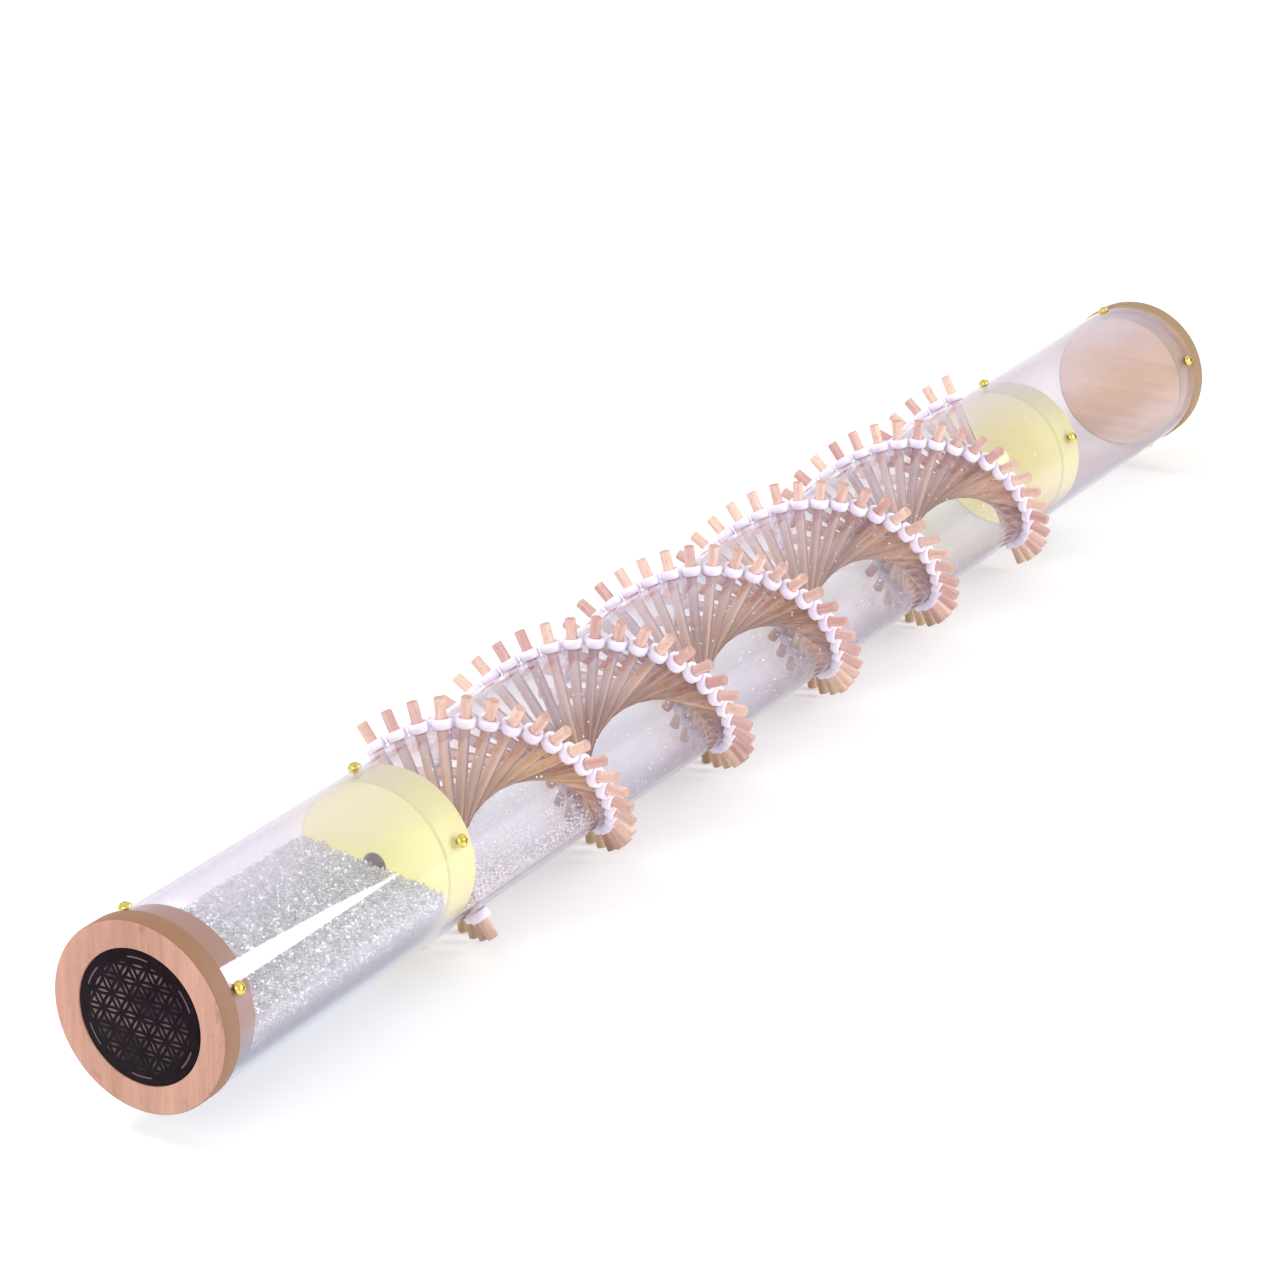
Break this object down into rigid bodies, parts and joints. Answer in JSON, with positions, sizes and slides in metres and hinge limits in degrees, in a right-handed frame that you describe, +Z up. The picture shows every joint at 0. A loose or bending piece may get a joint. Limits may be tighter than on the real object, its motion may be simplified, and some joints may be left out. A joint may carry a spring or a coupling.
{
  "type": "rain stick",
  "caption": "Rain stick: a clear tube with wooden end caps, inner baffle discs, a bead filling and a helix of ringed wooden dowels right through its wall.",
  "frame": {"origin": "middle of the tube's axis, the centre of the bounding box", "axes": "+X along the tube, from the inlaid front cap to the plain rear cap; +Z up as the stick lies"},
  "size_m": [0.9506, 0.108, 0.1082],
  "materials": {
    "acrylic": "clear, polished",
    "cap_wood": "pinkish beech, fine grain, sanded",
    "dowel_wood": "pale beech, sanded",
    "inlay": "black, satin, with a lattice of overlapping circles in wood colour",
    "baffle": "pale yellow, slightly translucent, satin",
    "screw_brass": "bright, yellow",
    "beads": "small clear and silvery beads"
  },
  "bodies": {
    "stick": {"tube": "acrylic", "front_cap": "cap_wood", "front_inlay": "inlay", "rear_cap": "cap_wood", "front_baffle": "baffle", "rear_baffle": "baffle", "front_cap_screw_1": "screw_brass", "front_cap_screw_2": "screw_brass", "front_cap_screw_3": "screw_brass", "front_cap_screw_4": "screw_brass", "front_baffle_screw_1": "screw_brass", "front_baffle_screw_2": "screw_brass", "front_baffle_screw_3": "screw_brass", "front_baffle_screw_4": "screw_brass", "rear_baffle_screw_1": "screw_brass", "rear_baffle_screw_2": "screw_brass", "rear_baffle_screw_3": "screw_brass", "rear_baffle_screw_4": "screw_brass", "rear_cap_screw_1": "screw_brass", "rear_cap_screw_2": "screw_brass", "rear_cap_screw_3": "screw_brass", "rear_cap_screw_4": "screw_brass", "dowels_01": "dowel_wood", "dowels_02": "dowel_wood", "dowels_03": "dowel_wood", "dowels_04": "dowel_wood", "dowels_05": "dowel_wood", "dowels_06": "dowel_wood", "dowels_07": "dowel_wood", "dowels_08": "dowel_wood", "dowels_09": "dowel_wood", "dowels_10": "dowel_wood", "dowels_11": "dowel_wood", "dowels_12": "dowel_wood", "dowels_13": "dowel_wood", "dowels_14": "dowel_wood", "dowels_15": "dowel_wood", "dowels_16": "dowel_wood", "dowels_17": "dowel_wood", "dowels_18": "dowel_wood", "dowels_19": "dowel_wood", "dowels_20": "dowel_wood", "dowels_21": "dowel_wood", "dowels_22": "dowel_wood", "dowels_23": "dowel_wood", "dowels_24": "dowel_wood", "dowels_25": "dowel_wood", "dowels_26": "dowel_wood", "dowels_27": "dowel_wood", "dowels_28": "dowel_wood", "dowels_29": "dowel_wood"},
    "beads": {"bead_filling": "beads"}
  },
  "joints": [
    {"name": "bead_roll", "type": "hinge", "parent": "stick", "child": "beads", "pos_m": [-0.382, 0, 0], "axis": [1, 0, 0], "continuous": true}
  ]
}
